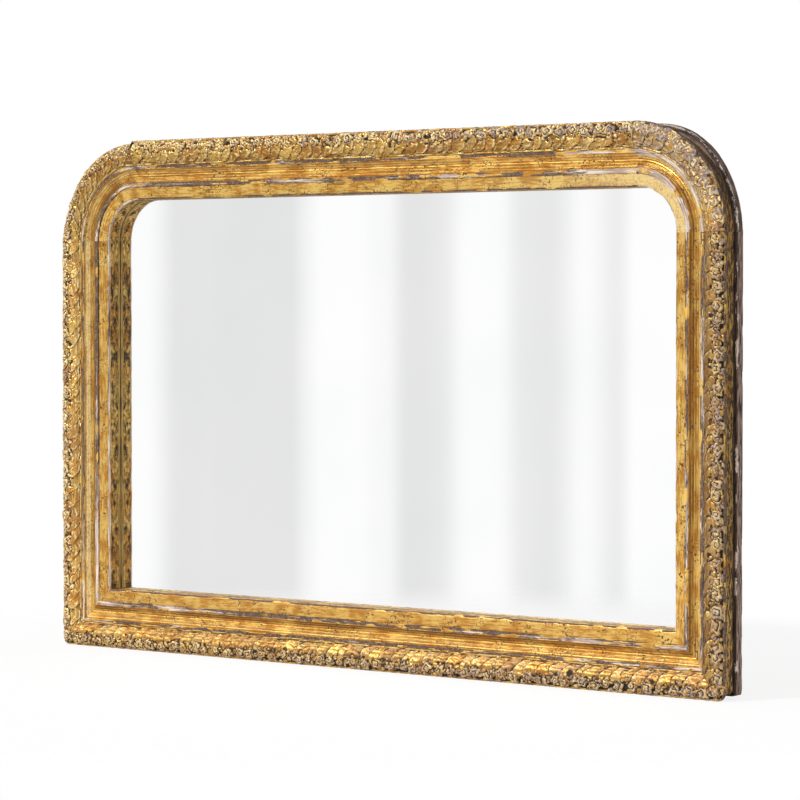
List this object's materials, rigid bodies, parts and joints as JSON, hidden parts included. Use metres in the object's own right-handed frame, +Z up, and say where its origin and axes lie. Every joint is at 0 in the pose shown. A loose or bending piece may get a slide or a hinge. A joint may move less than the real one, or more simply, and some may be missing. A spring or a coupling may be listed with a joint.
{
  "type": "overmantel mirror",
  "caption": "Landscape gilded mirror with a carved border, reeded cove and rounded top corners, built on a back frame with swinging hanger rings and turn buttons.",
  "frame": {"origin": "middle of the base: half way along the lower edge and half way through the depth", "axes": "+X along the width, +Y towards the wall behind, +Z up; the glass faces -Y"},
  "size_m": [1.22, 0.0584, 0.76],
  "materials": {
    "gilt_moulding": "worn gold leaf over gesso on softwood",
    "gilt_carving": "worn gold leaf on carved wood, rubbed on the high points",
    "back_wood": "plain pine, stained dark on the outer edge",
    "tongue_wood": "birch ply",
    "mirror": "silvered glass",
    "board": "plywood",
    "felt": "black felt",
    "block_rubber": "black rubber",
    "screw_steel": "zinc plated",
    "hanger_steel": "zinc plated",
    "button_brass": "brass plated",
    "pad_felt": "dense felt"
  },
  "bodies": {
    "frame": {"back_rail_bottom": "back_wood", "back_rail_top": "back_wood", "back_stile_left": "back_wood", "back_stile_right": "back_wood", "back_corner_left": "back_wood", "back_corner_right": "back_wood", "core_rail_bottom": "gilt_moulding", "core_rail_top": "gilt_moulding", "core_stile_left": "gilt_moulding", "core_stile_right": "gilt_moulding", "core_corner_left": "gilt_moulding", "core_corner_right": "gilt_moulding", "slip_rail_bottom": "gilt_carving", "slip_rail_top": "gilt_carving", "slip_stile_left": "gilt_carving", "slip_stile_right": "gilt_carving", "slip_corner_left": "gilt_carving", "slip_corner_right": "gilt_carving", "joint_tongues": "tongue_wood", "frame_screws": "screw_steel", "mirror_plate": "mirror", "backing_board": "board", "rebate_felt": "felt", "setting_blocks": "block_rubber", "turn_button_screws": "screw_steel", "hanger_screws": "screw_steel", "wall_pads": "pad_felt", "base_pads": "pad_felt", "hanger_strap_left": "hanger_steel", "hanger_strap_right": "hanger_steel"},
    "ring_left": {"hanger_ring_left": "hanger_steel"},
    "ring_right": {"hanger_ring_right": "hanger_steel"},
    "button_1": {"turn_button_1": "button_brass"},
    "button_2": {"turn_button_2": "button_brass"},
    "button_3": {"turn_button_3": "button_brass"},
    "button_4": {"turn_button_4": "button_brass"},
    "button_5": {"turn_button_5": "button_brass"},
    "button_6": {"turn_button_6": "button_brass"},
    "button_7": {"turn_button_7": "button_brass"},
    "button_8": {"turn_button_8": "button_brass"}
  },
  "joints": [
    {"name": "ring_left_swing", "type": "hinge", "parent": "frame", "child": "ring_left", "pos_m": [-0.578, 0.02608, 0.552], "axis": [1, 0, 0], "range_deg": [0, 180]},
    {"name": "ring_right_swing", "type": "hinge", "parent": "frame", "child": "ring_right", "pos_m": [0.578, 0.02608, 0.552], "axis": [1, 0, 0], "range_deg": [0, 180]},
    {"name": "button_1_turn", "type": "hinge", "parent": "frame", "child": "button_1", "pos_m": [-0.231, 0.02355, 0.071], "axis": [0, 1, 0], "continuous": true},
    {"name": "button_2_turn", "type": "hinge", "parent": "frame", "child": "button_2", "pos_m": [-0.231, 0.02355, 0.689], "axis": [0, 1, 0], "continuous": true},
    {"name": "button_3_turn", "type": "hinge", "parent": "frame", "child": "button_3", "pos_m": [-0.539, 0.02355, 0.204], "axis": [0, 1, 0], "continuous": true},
    {"name": "button_4_turn", "type": "hinge", "parent": "frame", "child": "button_4", "pos_m": [0.539, 0.02355, 0.204], "axis": [0, 1, 0], "continuous": true},
    {"name": "button_5_turn", "type": "hinge", "parent": "frame", "child": "button_5", "pos_m": [0.231, 0.02355, 0.071], "axis": [0, 1, 0], "continuous": true},
    {"name": "button_6_turn", "type": "hinge", "parent": "frame", "child": "button_6", "pos_m": [0.231, 0.02355, 0.689], "axis": [0, 1, 0], "continuous": true},
    {"name": "button_7_turn", "type": "hinge", "parent": "frame", "child": "button_7", "pos_m": [-0.539, 0.02355, 0.408], "axis": [0, 1, 0], "continuous": true},
    {"name": "button_8_turn", "type": "hinge", "parent": "frame", "child": "button_8", "pos_m": [0.539, 0.02355, 0.408], "axis": [0, 1, 0], "continuous": true}
  ]
}
